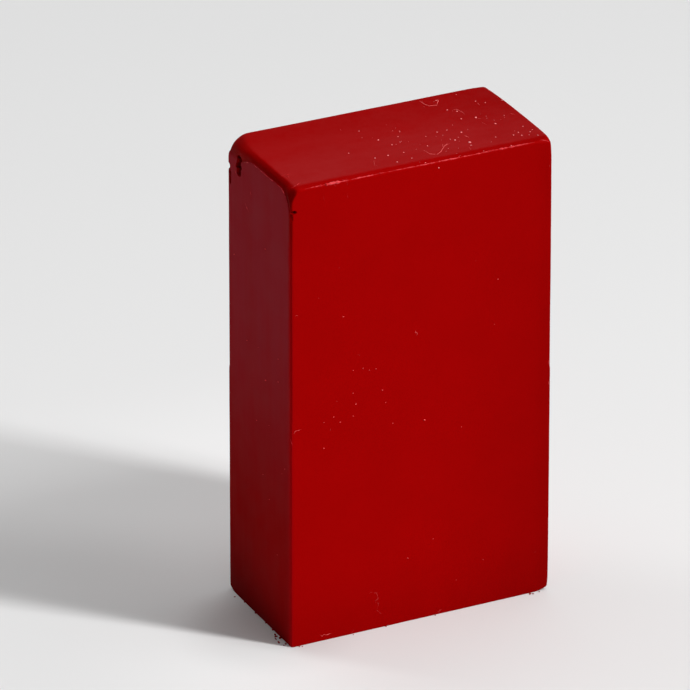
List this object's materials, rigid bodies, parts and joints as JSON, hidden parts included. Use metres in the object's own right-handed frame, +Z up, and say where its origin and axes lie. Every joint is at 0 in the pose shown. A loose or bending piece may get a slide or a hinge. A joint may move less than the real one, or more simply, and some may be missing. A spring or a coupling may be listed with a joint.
{
  "type": "clay bar",
  "caption": "Rectangular block of kneadable detailing clay with softly rounded upper corners, for lifting bonded dirt from lubricated car paint.",
  "frame": {"origin": "middle of the foot, the narrow end that the bar stands on", "axes": "+Z up along the bar's height, +X along its width, +Y through its thickness; the broad front face looks towards -Y"},
  "size_m": [0.04, 0.02, 0.0701],
  "materials": {
    "red_clay": "satin, waxy, through-coloured polymer clay"
  },
  "bodies": {
    "root": {"clay_block": "red_clay"}
  },
  "joints": []
}
